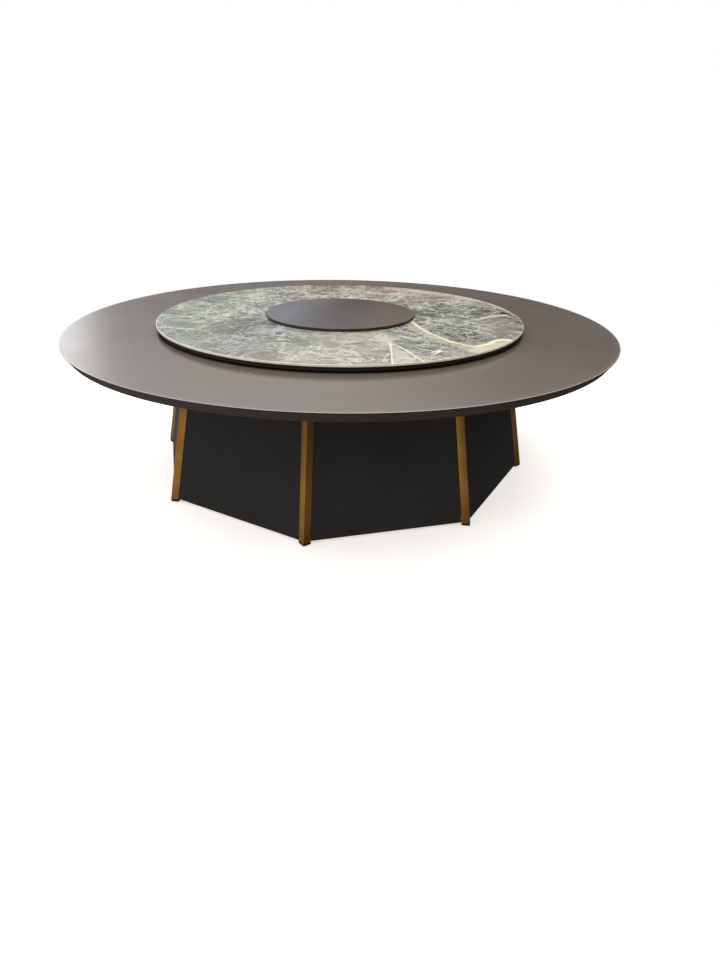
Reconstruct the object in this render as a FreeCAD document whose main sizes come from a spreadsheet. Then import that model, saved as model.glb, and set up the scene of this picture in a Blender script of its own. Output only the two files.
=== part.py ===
import FreeCAD, Part
import math
import os
import Sketcher

# Round banquet table with a stone turntable on an eight-sided pedestal.
# Millimetres, +Z up. The origin is on the floor, on the axis that the turntable turns about.
# One corner post points along -Y, and the joints between the top's leaves run along X and Y.

SIZES = {
    "tabletop": {
        "top_height": 770,
        "top_radius": 1400,
        "leaf_count": 4,
        "leaf_thickness": 25,
        "leaf_edge_lip": 4,
        "leaf_arris": 1,
        "leaf_joint": 0.4,
        "leaf_hole_radius": 60,
        "ring_face_depth": 1,
        "ring_face_gap": 1,
        "lipping_width": 60,
        "lipping_depth": 38,
        "lipping_undercut": 24,
        "lipping_setback": 1.5,
        "glue_gap": 0.3,
    },
    "support arms and the screws that hold the leaves": {
        "arm_width": 40,
        "arm_height": 40,
        "arm_wall": 2,
        "arm_inner_radius": 175,
        "arm_end_setback": 220,
        "leaf_screw_radius": 2.5,
        "leaf_screw_head_radius": 5,
        "leaf_screw_head_height": 3,
        "leaf_screw_bite": 16,
        "leaf_screw_spread": 24,
        "inner_screw_offset": 48,
        "outer_screw_inset": 50,
        "screw_clearance": 0.2,
    },
    "pedestal": {
        "post_count": 8,
        "post_side": 40,
        "post_wall": 2,
        "foot_radius": 1047,
        "head_radius": 899,
        "glide_height": 16,
        "glide_plug": 12,
        "glide_inset": 0.5,
        "glide_chamfer": 4,
        "plug_clearance": 0.3,
        "panel_thickness": 18,
        "panel_recess": 1,
        "panel_end_gap": 0.3,
        "panel_floor_gap": 18,
        "panel_head_gap": 3,
        "deck_thickness": 18,
        "base_board_thickness": 18,
        "base_board_rise": 6,
        "board_gap": 0.3,
    },
    "spindle and hub": {
        "spindle_radius": 20,
        "spindle_flange_radius": 78,
        "spindle_flange_thickness": 10,
        "spindle_head_gap": 2,
        "washer_thickness": 3,
        "hub_radius": 34,
        "hub_shoulder_radius": 44,
        "hub_shoulder_height": 3,
        "hub_bore_radius": 26,
        "hub_flange_radius": 150,
        "hub_flange_thickness": 6,
        "bush_length": 20,
        "running_clearance": 0.05,
        "hub_screw_count": 6,
        "hub_screw_place": 115,
        "hub_screw_radius": 3,
        "hub_screw_head_radius": 6,
        "hub_screw_length": 18,
    },
    "turntable": {
        "turntable_gap": 8,
        "carrier_setback": 8,
        "carrier_thickness": 18,
        "slab_radius": 950,
        "slab_thickness": 10,
        "slab_arris": 1,
        "disc_radius": 392,
        "disc_thickness": 15,
        "disc_seat_depth": 1,
        "disc_seat_gap": 0.5,
        "disc_band_thickness": 2,
        "disc_arris": 0.8,
    },
    "support rollers": {
        "roller_count": 6,
        "roller_radius": 15,
        "roller_width": 16,
        "roller_edge_round": 1.5,
        "roller_track_inset": 190,
        "roller_contact_gap": 0.3,
        "roller_side_gap": 0.5,
        "axle_radius": 3,
        "bracket_wall": 1.5,
        "bracket_length": 36,
        "bracket_rim": 8,
        "bracket_rim_thickness": 1.5,
        "bracket_clearance": 0.3,
        "bracket_floor_gap": 0.7,
    },
    "drive": {
        "tooth_module": 2.5,
        "gear_teeth": 72,
        "pinion_teeth": 20,
        "gear_width": 14,
        "pinion_width": 17,
        "pinion_drop": 1,
        "mesh_play": 0.15,
        "gear_web_thickness": 8,
        "gear_rim_depth": 12,
        "gear_boss": 10,
        "shaft_radius": 7,
        "shaft_socket": 25,
        "shaft_collar_step": 3.5,
        "shaft_hole_radius": 12,
        "gearbox_side": 84,
        "gearbox_height": 46,
        "gearbox_plate_side": 106,
        "gearbox_plate_thickness": 6,
        "gearbox_round": 8,
        "motor_radius": 31,
        "motor_length": 96,
        "motor_end_cap": 10,
        "motor_cap_step": 3,
    },
    "control box and cable gland": {
        "control_length": 170,
        "control_width": 120,
        "control_height": 52,
        "control_round": 6,
        "control_lid": 12,
        "control_groove": 1.5,
        "control_place": 420,
        "gland_place": 560,
        "gland_thread_radius": 10,
        "gland_bore_radius": 4.5,
        "gland_nut_radius": 15,
        "gland_nut_height": 6,
        "gland_dome_height": 14,
        "gland_dome_top_radius": 8,
    },
}

FULL_TURN = 360
PRESSURE_ANGLE = 20
ADDENDUM_SHARE = 1
DEDENDUM_SHARE = 1.25
FLANK_POINTS = 5
FIRST_POST_ANGLE = -90
# The rollers stand clear of the leaves' joints and of the arms, and the pinion stands between two arms.
FIRST_ROLLER_ANGLE = 7.5
PINION_ANGLE = 112.5
CONTROL_BOX_ANGLE = 90
GLAND_ANGLE = 60

ORIGIN = FreeCAD.Vector(0, 0, 0)
UP = FreeCAD.Vector(0, 0, 1)
ALONG = FreeCAD.Vector(1, 0, 0)

doc = FreeCAD.newDocument("BanquetTable")
sheet = doc.addObject("Spreadsheet::Sheet", "Sizes")
row = 0
for piece, values in SIZES.items():
    row += 1
    sheet.set(f"A{row}", piece)
    for alias, value in values.items():
        row += 1
        sheet.set(f"A{row}", alias)
        sheet.set(f"B{row}", str(value))
        sheet.setAlias(f"B{row}", alias)
doc.recompute()

parts = []


def size(alias):
    return float(sheet.get(alias))


# Heights that several pieces share, as expressions on the sheet.
LEAF_UNDER = "(Sizes.top_height - Sizes.leaf_thickness)"
ARM_UNDER = f"({LEAF_UNDER} - Sizes.arm_height)"
DECK_UNDER = f"({ARM_UNDER} - Sizes.deck_thickness)"
CARRIER_UNDER = "(Sizes.top_height + Sizes.turntable_gap)"
SLAB_UNDER = f"({CARRIER_UNDER} + Sizes.carrier_thickness)"
SLAB_TOP = f"({SLAB_UNDER} + Sizes.slab_thickness)"
DISC_UNDER = f"({SLAB_TOP} - Sizes.disc_seat_depth)"
BASE_UNDER = "(Sizes.panel_floor_gap + Sizes.base_board_rise)"
BASE_TOP = f"({BASE_UNDER} + Sizes.base_board_thickness)"
WASHER_UNDER = f"({ARM_UNDER} + Sizes.spindle_flange_thickness)"
HUB_UNDER = f"({WASHER_UNDER} + Sizes.washer_thickness)"
HUB_FLANGE_UNDER = f"({CARRIER_UNDER} - Sizes.hub_flange_thickness)"
GEAR_UNDER = f"({HUB_UNDER} + Sizes.hub_shoulder_height)"
ROLLER_CENTRE = f"({CARRIER_UNDER} - Sizes.roller_contact_gap - Sizes.roller_radius)"
ROLLER_TRACK = "(Sizes.slab_radius - Sizes.roller_track_inset)"
ARM_END = "(Sizes.top_radius - Sizes.arm_end_setback)"
INNER_SCREW = "(Sizes.head_radius + Sizes.inner_screw_offset)"
OUTER_SCREW = f"({ARM_END} - Sizes.outer_screw_inset)"

TEETH_IN_MESH = "(Sizes.gear_teeth + Sizes.pinion_teeth)"
DRIVE_DISTANCE = f"(Sizes.tooth_module * {TEETH_IN_MESH} / 2 + Sizes.mesh_play)"

CORNER_STEP = "(360 / Sizes.post_count)"
HALF_STEP = "(180 / Sizes.post_count)"
LEAF_STEP = "(360 / Sizes.leaf_count)"


def bind(item, **properties):
    """Binds properties to the sheet; a double underscore in a name stands for a dot."""
    for name, expression in properties.items():
        item.setExpression(name.replace("__", "."), expression)


def turn_to(item, angle):
    bind(item, Placement__Rotation__Angle=angle)


def keep(item, label):
    """Marks an object as a sub-part, with the name of its file."""
    item.Label = label
    parts.append(item)
    return item


def new_body(label):
    return doc.addObject("PartDesign::Body", label)


def sketch_on(body, role, level=None):
    plane = next(feature for feature in body.Origin.OriginFeatures if feature.Role == role)
    sketch = body.newObject("Sketcher::SketchObject", body.Name + "_sketch")
    sketch.AttachmentSupport = [(plane, "")]
    sketch.MapMode = "FlatFace"
    if level:
        bind(sketch, AttachmentOffset__Base__z=level)
    return sketch


def place(sketch, geometry, point, across, up):
    """Holds a sketch point at expressions for its place across and up; "0" keeps it on the axis."""
    for kind, axis, expression in (("DistanceX", -2, across), ("DistanceY", -1, up)):
        if expression == "0":
            sketch.addConstraint(Sketcher.Constraint("PointOnObject", geometry, point, axis))
            continue
        index = sketch.addConstraint(Sketcher.Constraint(kind, -1, 1, geometry, point, 1))
        sketch.setExpression(f"Constraints[{index}]", expression)


def draw_outline(sketch, corners):
    """Draws a closed outline of straight lines through corners given as expressions."""
    first = sketch.GeometryCount
    count = len(corners)
    ring = [
        FreeCAD.Vector(math.cos(2 * math.pi * n / count), math.sin(2 * math.pi * n / count), 0)
        for n in range(count)
    ]
    for n in range(count):
        sketch.addGeometry(Part.LineSegment(ring[n], ring[(n + 1) % count]), False)
    for n in range(count):
        sketch.addConstraint(Sketcher.Constraint("Coincident", first + n, 2, first + (n + 1) % count, 1))
    for n, (across, up) in enumerate(corners):
        place(sketch, first + n, 1, across, up)
    return sketch


def draw_circle(sketch, radius, across="0", up="0"):
    unit_circle = Part.Circle(ORIGIN, UP, 1)
    circle = sketch.addGeometry(unit_circle, False)
    index = sketch.addConstraint(Sketcher.Constraint("Radius", circle, 1))
    sketch.setExpression(f"Constraints[{index}]", radius)
    place(sketch, circle, 3, across, up)
    return sketch


def rectangle(left, right, low, high):
    return [(left, low), (right, low), (right, high), (left, high)]


def pad(body, sketch, length):
    feature = body.newObject("PartDesign::Pad", body.Name + "_pad")
    feature.Profile = sketch
    bind(feature, Length=length)
    return feature


def cut_through(body, sketch):
    feature = body.newObject("PartDesign::Pocket", body.Name + "_holes")
    feature.Profile = sketch
    feature.Type = "ThroughAll"
    feature.Midplane = True
    return feature


def round_uprights(body, base, name, radius):
    """Rounds the upright edges of a padded box."""
    doc.recompute()
    uprights = []
    for number, edge in enumerate(base.Shape.Edges, start=1):
        direction = edge.lastVertex().Point - edge.firstVertex().Point
        if abs(direction.z) > abs(direction.x) + abs(direction.y):
            uprights.append(f"Edge{number}")
    rounding = body.newObject("PartDesign::Fillet", name)
    rounding.Base = (base, uprights)
    bind(rounding, Radius=radius)
    return rounding


def revolve(body, sketch, axis="V_Axis", angle=None):
    feature = body.newObject("PartDesign::Revolution", body.Name + "_turned")
    feature.Profile = sketch
    feature.ReferenceAxis = (sketch, [axis])
    feature.Angle = FULL_TURN
    if angle:
        bind(feature, Angle=angle)
    return feature


def turned(label, corners, axis="V_Axis", angle=None):
    """A body turned from an outline of (radius, height), or of (along, radius) about the X axis."""
    body = new_body(label)
    sketch = draw_outline(sketch_on(body, "XZ_Plane"), corners)
    revolve(body, sketch, axis, angle)
    return body


def lofted(body, sections):
    """Adds a straight-sided loft through outlines: each is a level and its lists of corners."""
    sketches = []
    for level, outlines in sections:
        sketch = sketch_on(body, "XY_Plane", level)
        for corners in outlines:
            draw_outline(sketch, corners)
        sketches.append(sketch)
    feature = body.newObject("PartDesign::AdditiveLoft", body.Name + "_loft")
    feature.Profile = sketches[0]
    feature.Sections = sketches[1:]
    feature.Ruled = True
    return feature


def copies(template, angles, offsets):
    """Copies of one shape at each offset, turned about Z to each angle, as separate solids."""
    solids = []
    for angle in angles:
        for offset in offsets:
            copy = template.Shape.copy()
            copy.translate(offset)
            copy.rotate(ORIGIN, UP, angle)
            solids.append(copy)
    return Part.makeCompound(solids)


def group(label, shape):
    item = doc.addObject("Part::Feature", label)
    item.Shape = shape
    return keep(item, label)


def drilled(label, base, shape):
    """A sub-part made by cutting one shape of holes or slots out of its base."""
    tool = doc.addObject("Part::Feature", label + "_cutter")
    tool.Shape = shape
    result = doc.addObject("Part::Cut", label)
    result.Base = base
    result.Tool = tool
    return keep(result, label)


def even_angles(count, first=0.0):
    return [first + FULL_TURN * n / count for n in range(int(count))]


def ridge_radius(level):
    """How far the posts' outer corners stand from the axis at a level of the tapering pedestal."""
    return f"(Sizes.foot_radius + (Sizes.head_radius - Sizes.foot_radius) * {level} / {ARM_UNDER})"


def diamond(level, inset):
    """A post's square section, corner outwards, drawn in from its faces by an inset."""
    centre = f"({ridge_radius(level)} - Sizes.post_side / sqrt(2))"
    reach = f"((Sizes.post_side - 2 * ({inset})) / sqrt(2))"
    outer = f"{centre} + {reach}"
    inner = f"{centre} - {reach}"
    return [(outer, "0"), (centre, reach), (inner, "0"), (centre, f"-{reach}")]


def panel_face(level, depth):
    """Distance from the axis to a plane at a depth behind the panels' front line, at a level."""
    corner = f"({ridge_radius(level)} - Sizes.post_side / sqrt(2))"
    front = f"({corner} * cos({HALF_STEP}) + Sizes.post_side / sqrt(2) * sin({HALF_STEP}))"
    return f"({front} - Sizes.panel_recess - ({depth}))"


def panel_half_length(level):
    corner = f"({ridge_radius(level)} - Sizes.post_side / sqrt(2))"
    post_reach = f"Sizes.post_side / sqrt(2) * cos({HALF_STEP})"
    return f"({corner} * sin({HALF_STEP}) - {post_reach} - Sizes.panel_end_gap)"


def make_post(number):
    """Square brass-faced tube, corner outwards, leaning in; both ends are cut level."""
    label = f"corner_post_{number}"
    body = new_body(label)
    levels = ("Sizes.glide_height", ARM_UNDER)
    lofted(body, [(level, [diamond(level, "0"), diamond(level, "Sizes.post_wall")]) for level in levels])
    turn_to(body, f"{FIRST_POST_ANGLE} + {number - 1} * {CORNER_STEP}")
    keep(body, label)


def make_panel(number):
    """Tapering board between two posts, with level ends and its faces leaning in."""
    label = f"side_panel_{number}"
    body = new_body(label)
    levels = ("Sizes.panel_floor_gap", f"({ARM_UNDER} - Sizes.panel_head_gap)")
    sections = []
    for level in levels:
        half = panel_half_length(level)
        corners = rectangle(
            panel_face(level, "Sizes.panel_thickness"), panel_face(level, "0"), f"-{half}", half
        )
        sections.append((level, [corners]))
    lofted(body, sections)
    turn_to(body, f"{FIRST_POST_ANGLE} + {number - 1} * {CORNER_STEP} + {HALF_STEP}")
    keep(body, label)


def make_glides():
    """Dark nylon glides: a foot under each post, with a plug up into the tube."""
    body = new_body("glide_template")
    foot = [diamond("Sizes.glide_height", "Sizes.glide_inset")]
    sole = [diamond("Sizes.glide_height", "Sizes.glide_inset + Sizes.glide_chamfer")]
    lofted(body, [("0", sole), ("Sizes.glide_chamfer", foot)])
    lofted(body, [("Sizes.glide_chamfer", foot), ("Sizes.glide_height", foot)])
    plug_inset = "Sizes.post_wall + Sizes.plug_clearance"
    levels = ("Sizes.glide_height", "(Sizes.glide_height + Sizes.glide_plug)")
    lofted(body, [(level, [diamond(level, plug_inset)]) for level in levels])
    doc.recompute()
    angles = even_angles(size("post_count"), FIRST_POST_ANGLE)
    group("foot_glides", copies(body, angles, [ORIGIN]))


def octagon(label, face_distance, turn, level, thickness):
    prism = doc.addObject("Part::Prism", label)
    bind(
        prism,
        Polygon="Sizes.post_count",
        Circumradius=f"{face_distance} / cos({HALF_STEP})",
        Height=thickness,
        Placement__Base__z=level,
        Placement__Rotation__Angle=turn,
    )
    return prism


def make_board(label, level, thickness, hole_radius, hole_place, hole_angle):
    """Eight-sided plywood board inside the panels, its corners cut back behind the posts."""
    upper = f"({level} + {thickness})"
    behind_panels = f"({panel_face(upper, 'Sizes.panel_thickness')} - Sizes.board_gap)"
    behind_posts = f"({ridge_radius(upper)} - 2 * Sizes.post_side / sqrt(2) - Sizes.board_gap)"
    board = doc.addObject("Part::Common", label + "_blank")
    to_posts = str(FIRST_POST_ANGLE)
    to_panels = f"{FIRST_POST_ANGLE} + {HALF_STEP}"
    board.Base = octagon(label + "_sides", behind_panels, to_posts, level, thickness)
    board.Tool = octagon(label + "_corners", behind_posts, to_panels, level, thickness)
    hole = doc.addObject("Part::Cylinder", label + "_hole")
    bind(
        hole,
        Radius=hole_radius,
        Height=thickness,
        Placement__Base__x=f"{hole_place} * cos({hole_angle})",
        Placement__Base__y=f"{hole_place} * sin({hole_angle})",
        Placement__Base__z=level,
    )
    result = doc.addObject("Part::Cut", label)
    result.Base = board
    result.Tool = hole
    keep(result, label)


def make_arm(number):
    """Steel box tube lying flat on the deck and a post, drilled for the screws into the leaf."""
    label = f"support_arm_{number}"
    body = new_body(label)
    section = sketch_on(body, "YZ_Plane", "Sizes.arm_inner_radius")
    half = "Sizes.arm_width / 2"
    wall = "Sizes.arm_wall"
    draw_outline(section, rectangle(f"-{half}", half, ARM_UNDER, LEAF_UNDER))
    bore_side = f"({half} - {wall})"
    bore = rectangle(f"-{bore_side}", bore_side, f"{ARM_UNDER} + {wall}", f"{LEAF_UNDER} - {wall}")
    draw_outline(section, bore)
    pad(body, section, f"{ARM_END} - Sizes.arm_inner_radius")
    holes = sketch_on(body, "XY_Plane", LEAF_UNDER)
    radius = "Sizes.leaf_screw_radius + Sizes.screw_clearance"
    for where in (INNER_SCREW, OUTER_SCREW):
        for side in ("-Sizes.leaf_screw_spread / 2", "Sizes.leaf_screw_spread / 2"):
            draw_circle(holes, radius, where, side)
    cut_through(body, holes)
    turn_to(body, f"{FIRST_POST_ANGLE} + {number - 1} * {CORNER_STEP}")
    keep(body, label)


def leaf_screw_offsets():
    half = size("leaf_screw_spread") / 2
    inner = size("head_radius") + size("inner_screw_offset")
    outer = size("top_radius") - size("arm_end_setback") - size("outer_screw_inset")
    return [FreeCAD.Vector(place, side, 0) for place in (inner, outer) for side in (-half, half)]


def make_leaf_screws():
    """Pan-head screws up through the arms' two walls into the leaves."""
    head_low = f"({ARM_UNDER} - Sizes.leaf_screw_head_height)"
    tip = f"({LEAF_UNDER} + Sizes.leaf_screw_bite)"
    corners = [
        ("0", head_low),
        ("Sizes.leaf_screw_head_radius", head_low),
        ("Sizes.leaf_screw_head_radius", ARM_UNDER),
        ("Sizes.leaf_screw_radius", ARM_UNDER),
        ("Sizes.leaf_screw_radius", f"{tip} - Sizes.leaf_screw_radius"),
        ("0", tip),
    ]
    template = turned("leaf_screw_template", corners)
    doc.recompute()
    angles = even_angles(size("post_count"), FIRST_POST_ANGLE)
    group("leaf_screws", copies(template, angles, leaf_screw_offsets()))


def leaf_cutter():
    """All that is cut from the leaves: pilot holes from below and the slots for the brackets."""
    under = size("top_height") - size("leaf_thickness")
    clearance = size("screw_clearance")
    pilot = Part.makeCylinder(
        size("leaf_screw_radius") + clearance,
        size("leaf_screw_bite") + 2 * clearance,
        FreeCAD.Vector(0, 0, under - clearance),
    )
    half_width, half_length = bracket_half_sizes()
    gap = size("bracket_clearance")
    slot = Part.makeBox(
        2 * (half_width + gap),
        2 * (half_length + gap),
        size("leaf_thickness") + 2 * gap,
        FreeCAD.Vector(-half_width - gap, -half_length - gap, under - gap),
    )
    cuts = []
    for angle in even_angles(size("post_count"), FIRST_POST_ANGLE):
        for offset in leaf_screw_offsets():
            cuts.append(pilot.translated(offset).rotated(ORIGIN, UP, angle))
    track = roller_track()
    for angle in even_angles(size("roller_count"), FIRST_ROLLER_ANGLE):
        cuts.append(slot.translated(track).rotated(ORIGIN, UP, angle))
    return cuts


def make_leaf(number, cuts):
    """One leaf of the top: its lip runs out over the lipping, its face is raised round the stone."""
    rebate = "(Sizes.top_radius - Sizes.lipping_width)"
    ring_face = "(Sizes.slab_radius + Sizes.ring_face_gap)"
    bare_top = "(Sizes.top_height - Sizes.ring_face_depth)"
    lip_under = "(Sizes.top_height - Sizes.leaf_edge_lip)"
    corners = [
        ("Sizes.leaf_hole_radius", LEAF_UNDER),
        (rebate, LEAF_UNDER),
        (rebate, lip_under),
        ("Sizes.top_radius", lip_under),
        ("Sizes.top_radius", "Sizes.top_height - Sizes.leaf_arris"),
        ("Sizes.top_radius - Sizes.leaf_arris", "Sizes.top_height"),
        (ring_face, "Sizes.top_height"),
        (ring_face, bare_top),
        ("Sizes.leaf_hole_radius", bare_top),
    ]
    joint = "Sizes.leaf_joint / Sizes.top_radius * 180 / pi"
    body = turned(f"leaf_blank_{number}", corners, angle=f"{LEAF_STEP} - {joint}")
    turn_to(body, f"{number - 1} * {LEAF_STEP} + {joint} / 2")
    doc.recompute()
    reached = [cut for cut in cuts if body.Shape.distToShape(cut)[0] == 0]
    drilled(f"top_leaf_{number}", body, Part.makeCompound(reached))


def make_lipping(number):
    """A bent length of solid edging under the leaf's lip, undercut so the top looks thin."""
    inner = "(Sizes.top_radius - Sizes.lipping_width + Sizes.glue_gap)"
    upper = "(Sizes.top_height - Sizes.leaf_edge_lip)"
    outer = "(Sizes.top_radius - Sizes.lipping_setback)"
    corners = [
        (inner, f"{upper} - Sizes.lipping_depth"),
        (f"{outer} - Sizes.lipping_undercut", f"{upper} - Sizes.lipping_depth"),
        (outer, f"{upper} - Sizes.lipping_setback"),
        (outer, upper),
        (inner, upper),
    ]
    joint = "Sizes.leaf_joint / Sizes.top_radius * 180 / pi"
    label = f"edge_lipping_{number}"
    body = turned(label, corners, angle=f"{LEAF_STEP} - {joint}")
    turn_to(body, f"{number - 1} * {LEAF_STEP} + {joint} / 2")
    keep(body, label)


def make_spindle():
    """Fixed pin with a flange that stands on the deck."""
    head = f"({CARRIER_UNDER} - Sizes.spindle_head_gap)"
    corners = [
        ("0", ARM_UNDER),
        ("Sizes.spindle_flange_radius", ARM_UNDER),
        ("Sizes.spindle_flange_radius", WASHER_UNDER),
        ("Sizes.spindle_radius", WASHER_UNDER),
        ("Sizes.spindle_radius", head),
        ("0", head),
    ]
    keep(turned("spindle", corners), "spindle")


def make_washer():
    """Thrust washer between the spindle's flange and the hub."""
    bore = "(Sizes.spindle_radius + Sizes.running_clearance)"
    corners = rectangle(bore, "Sizes.hub_shoulder_radius", WASHER_UNDER, HUB_UNDER)
    keep(turned("thrust_washer", corners), "thrust_washer")


def make_hub():
    """Sleeve that turns on the spindle, with a shoulder for the gear and a flange for the carrier."""
    corners = [
        ("Sizes.hub_bore_radius", HUB_UNDER),
        ("Sizes.hub_shoulder_radius", HUB_UNDER),
        ("Sizes.hub_shoulder_radius", GEAR_UNDER),
        ("Sizes.hub_radius", GEAR_UNDER),
        ("Sizes.hub_radius", HUB_FLANGE_UNDER),
        ("Sizes.hub_flange_radius", HUB_FLANGE_UNDER),
        ("Sizes.hub_flange_radius", CARRIER_UNDER),
        ("Sizes.hub_bore_radius", CARRIER_UNDER),
    ]
    blank = turned("hub_blank", corners)
    doc.recompute()
    drilled("hub", blank, hub_screw_holes("hub_screw_hole_template"))


def hub_screw_outline(grow):
    """Half outline of a countersunk screw driven up from the flange's underside, grown by a gap."""
    head = f"(Sizes.hub_screw_head_radius + {grow})"
    shank = f"(Sizes.hub_screw_radius + {grow})"
    neck = f"({HUB_FLANGE_UNDER} + {head} - {shank})"
    tip = f"({HUB_FLANGE_UNDER} + Sizes.hub_screw_length + {grow})"
    return [("0", HUB_FLANGE_UNDER), (head, HUB_FLANGE_UNDER), (shank, neck), (shank, tip), ("0", tip)]


def hub_screw_places():
    return even_angles(size("hub_screw_count")), [FreeCAD.Vector(size("hub_screw_place"), 0, 0)]


def hub_screw_holes(name):
    template = turned(name, hub_screw_outline("Sizes.screw_clearance"))
    doc.recompute()
    return copies(template, *hub_screw_places())


def make_hub_screws():
    """Countersunk screws up through the hub's flange into the carrier board."""
    template = turned("hub_screw_template", hub_screw_outline("0"))
    doc.recompute()
    group("hub_screws", copies(template, *hub_screw_places()))


def make_bushes():
    """Two plain bushes in the hub's bore, one at each end."""
    inner = "(Sizes.spindle_radius + Sizes.running_clearance)"
    outer = "(Sizes.hub_bore_radius - Sizes.running_clearance)"
    lower = turned("lower_bush", rectangle(inner, outer, HUB_UNDER, f"{HUB_UNDER} + Sizes.bush_length"))
    upper_end = f"({CARRIER_UNDER} - Sizes.spindle_head_gap)"
    upper = turned("upper_bush", rectangle(inner, outer, f"{upper_end} - Sizes.bush_length", upper_end))
    pair = doc.addObject("Part::Compound", "hub_bushes")
    pair.Links = [lower, upper]
    keep(pair, "hub_bushes")


def make_turntable():
    """Black carrier board, stone slab on it, and the disc with its edge band let into the stone."""
    carrier_radius = "(Sizes.slab_radius - Sizes.carrier_setback)"
    carrier = turned("carrier_blank", rectangle("0", carrier_radius, CARRIER_UNDER, SLAB_UNDER))
    doc.recompute()
    drilled("carrier_board", carrier, hub_screw_holes("carrier_hole_template"))
    arris = "Sizes.slab_arris"
    seat = "(Sizes.disc_radius + Sizes.disc_seat_gap)"
    slab = [
        ("0", SLAB_UNDER),
        (f"Sizes.slab_radius - {arris}", SLAB_UNDER),
        ("Sizes.slab_radius", f"{SLAB_UNDER} + {arris}"),
        ("Sizes.slab_radius", f"{SLAB_TOP} - {arris}"),
        (f"Sizes.slab_radius - {arris}", SLAB_TOP),
        (seat, SLAB_TOP),
        (seat, DISC_UNDER),
        ("0", DISC_UNDER),
    ]
    keep(turned("stone_slab", slab), "stone_slab")
    disc_top = f"({DISC_UNDER} + Sizes.disc_thickness)"
    band_inner = "(Sizes.disc_radius - Sizes.disc_band_thickness)"
    disc_outer = f"({band_inner} - Sizes.glue_gap)"
    keep(turned("centre_disc", rectangle("0", disc_outer, DISC_UNDER, disc_top)), "centre_disc")
    band = [
        (band_inner, DISC_UNDER),
        ("Sizes.disc_radius", DISC_UNDER),
        ("Sizes.disc_radius", f"{disc_top} - Sizes.disc_arris"),
        ("Sizes.disc_radius - Sizes.disc_arris", disc_top),
        (band_inner, disc_top),
    ]
    keep(turned("disc_edge_band", band), "disc_edge_band")


def make_roller(number):
    """Nylon roller on a radial axle; its tread is the width of the track under the carrier."""
    near = f"({ROLLER_TRACK} - Sizes.roller_width / 2)"
    far = f"({ROLLER_TRACK} + Sizes.roller_width / 2)"
    edge = "Sizes.roller_edge_round"
    bore = "(Sizes.axle_radius + Sizes.running_clearance)"
    tread = "Sizes.roller_radius"
    corners = [
        (near, bore),
        (far, bore),
        (far, f"{tread} - {edge}"),
        (f"{far} - {edge}", tread),
        (f"{near} + {edge}", tread),
        (near, f"{tread} - {edge}"),
    ]
    label = f"support_roller_{number}"
    body = turned(label, corners, axis="H_Axis")
    bind(body, Placement__Base__z=ROLLER_CENTRE)
    turn_to(body, f"{FIRST_ROLLER_ANGLE} + {number - 1} * 360 / Sizes.roller_count")
    keep(body, label)


def bracket_half_sizes():
    """Half the bracket's outer width, along the axle, and half its length, along the track."""
    half_width = size("roller_width") / 2 + size("roller_side_gap") + size("bracket_wall")
    return half_width, size("bracket_length") / 2


def roller_track():
    return FreeCAD.Vector(size("slab_radius") - size("roller_track_inset"), 0, 0)


def roller_centre_height():
    lift = size("turntable_gap") - size("roller_contact_gap") - size("roller_radius")
    return size("top_height") + lift


def make_brackets():
    """Pressed steel cups let into the leaves, each with a rim on top and two walls for the axle."""
    half_width, half_length = bracket_half_sizes()
    wall = size("bracket_wall")
    rim = size("bracket_rim")
    rim_thickness = size("bracket_rim_thickness")
    height = roller_centre_height()
    floor = height - size("roller_radius") - size("bracket_floor_gap") - wall
    top = size("top_height") - size("ring_face_depth")
    outer = Part.makeBox(
        2 * half_width, 2 * half_length, top - floor, FreeCAD.Vector(-half_width, -half_length, floor)
    )
    flange = Part.makeBox(
        2 * (half_width + rim),
        2 * (half_length + rim),
        rim_thickness,
        FreeCAD.Vector(-half_width - rim, -half_length - rim, top),
    )
    inner = Part.makeBox(
        2 * (half_width - wall),
        2 * (half_length - wall),
        top + rim_thickness - floor,
        FreeCAD.Vector(wall - half_width, wall - half_length, floor + wall),
    )
    bore = Part.makeCylinder(
        size("axle_radius") + size("running_clearance"),
        2 * half_width,
        FreeCAD.Vector(-half_width, 0, height),
        ALONG,
    )
    template = doc.addObject("Part::Feature", "bracket_template")
    template.Shape = outer.fuse(flange).cut(inner).cut(bore).removeSplitter()
    angles = even_angles(size("roller_count"), FIRST_ROLLER_ANGLE)
    group("roller_brackets", copies(template, angles, [roller_track()]))
    axle = doc.addObject("Part::Feature", "axle_template")
    start = FreeCAD.Vector(-half_width, 0, height)
    axle.Shape = Part.makeCylinder(size("axle_radius"), 2 * half_width, start, ALONG)
    group("roller_axles", copies(axle, angles, [roller_track()]))


def flank(pitch_radius, teeth, root_radius, tip_radius):
    """Involute from the root or base circle to the tip, for the tooth that points along +X."""
    base_radius = pitch_radius * math.cos(math.radians(PRESSURE_ANGLE))
    involute_at_pitch = math.tan(math.radians(PRESSURE_ANGLE)) - math.radians(PRESSURE_ANGLE)
    half_tooth = math.pi / (2 * teeth) + involute_at_pitch
    start = math.sqrt(max(root_radius / base_radius, 1) ** 2 - 1)
    finish = math.sqrt((tip_radius / base_radius) ** 2 - 1)
    points = []
    for step in range(FLANK_POINTS):
        roll = start + (finish - start) * step / (FLANK_POINTS - 1)
        radius = base_radius * math.sqrt(1 + roll**2)
        angle = half_tooth - (roll - math.atan(roll))
        points.append((radius, angle))
    if root_radius < base_radius:
        points.insert(0, (root_radius, points[0][1]))
    return points


def polar(radius, angle):
    return FreeCAD.Vector(radius * math.cos(angle), radius * math.sin(angle), 0)


def spline(points):
    curve = Part.BSplineCurve()
    curve.interpolate(points)
    return curve.toShape()


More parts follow.
